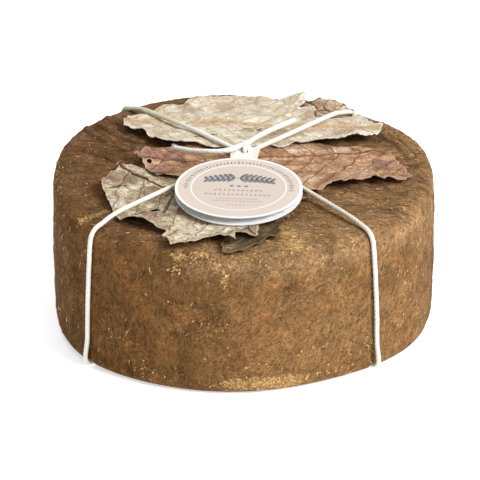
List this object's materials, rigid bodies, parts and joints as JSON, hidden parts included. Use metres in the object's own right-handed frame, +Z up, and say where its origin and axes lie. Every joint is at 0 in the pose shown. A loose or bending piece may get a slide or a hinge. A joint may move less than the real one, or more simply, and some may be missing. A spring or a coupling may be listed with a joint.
{
  "type": "chestnut leaf-wrapped cow cheese",
  "caption": "Small drum-shaped wheel of rinded cow's cheese with dry chestnut leaves on its top, tied crosswise with twine, with a round folded tag.",
  "frame": {"origin": "middle of the flat base, on the surface that the wheel stands on", "axes": "+Z up; the tag lies towards -Y, which is the side that the picture shows"},
  "size_m": [0.1666, 0.1722, 0.0773],
  "materials": {
    "rind": "dry matte brown rind with a felt-like, mottled surface",
    "leaf_pale": "dry, pale grey-cream leaf with ochre veins",
    "leaf_tan": "dry tan-brown leaf",
    "leaf_brown": "dry reddish-brown leaf with dark veins",
    "leaf_green": "dry pale grey-green leaf with brown blotches",
    "leaf_olive": "dry crumpled olive-brown leaf",
    "twine": "matte twisted cotton twine",
    "card": "smooth coated card, white rim round a pale beige field"
  },
  "bodies": {
    "root": {"cheese": "rind", "leaf_back": "leaf_pale", "leaf_back_right": "leaf_tan", "leaf_middle": "leaf_brown", "leaf_front_left": "leaf_green", "leaf_front_right": "leaf_olive", "twine": "twine", "tag": "card"}
  },
  "joints": []
}
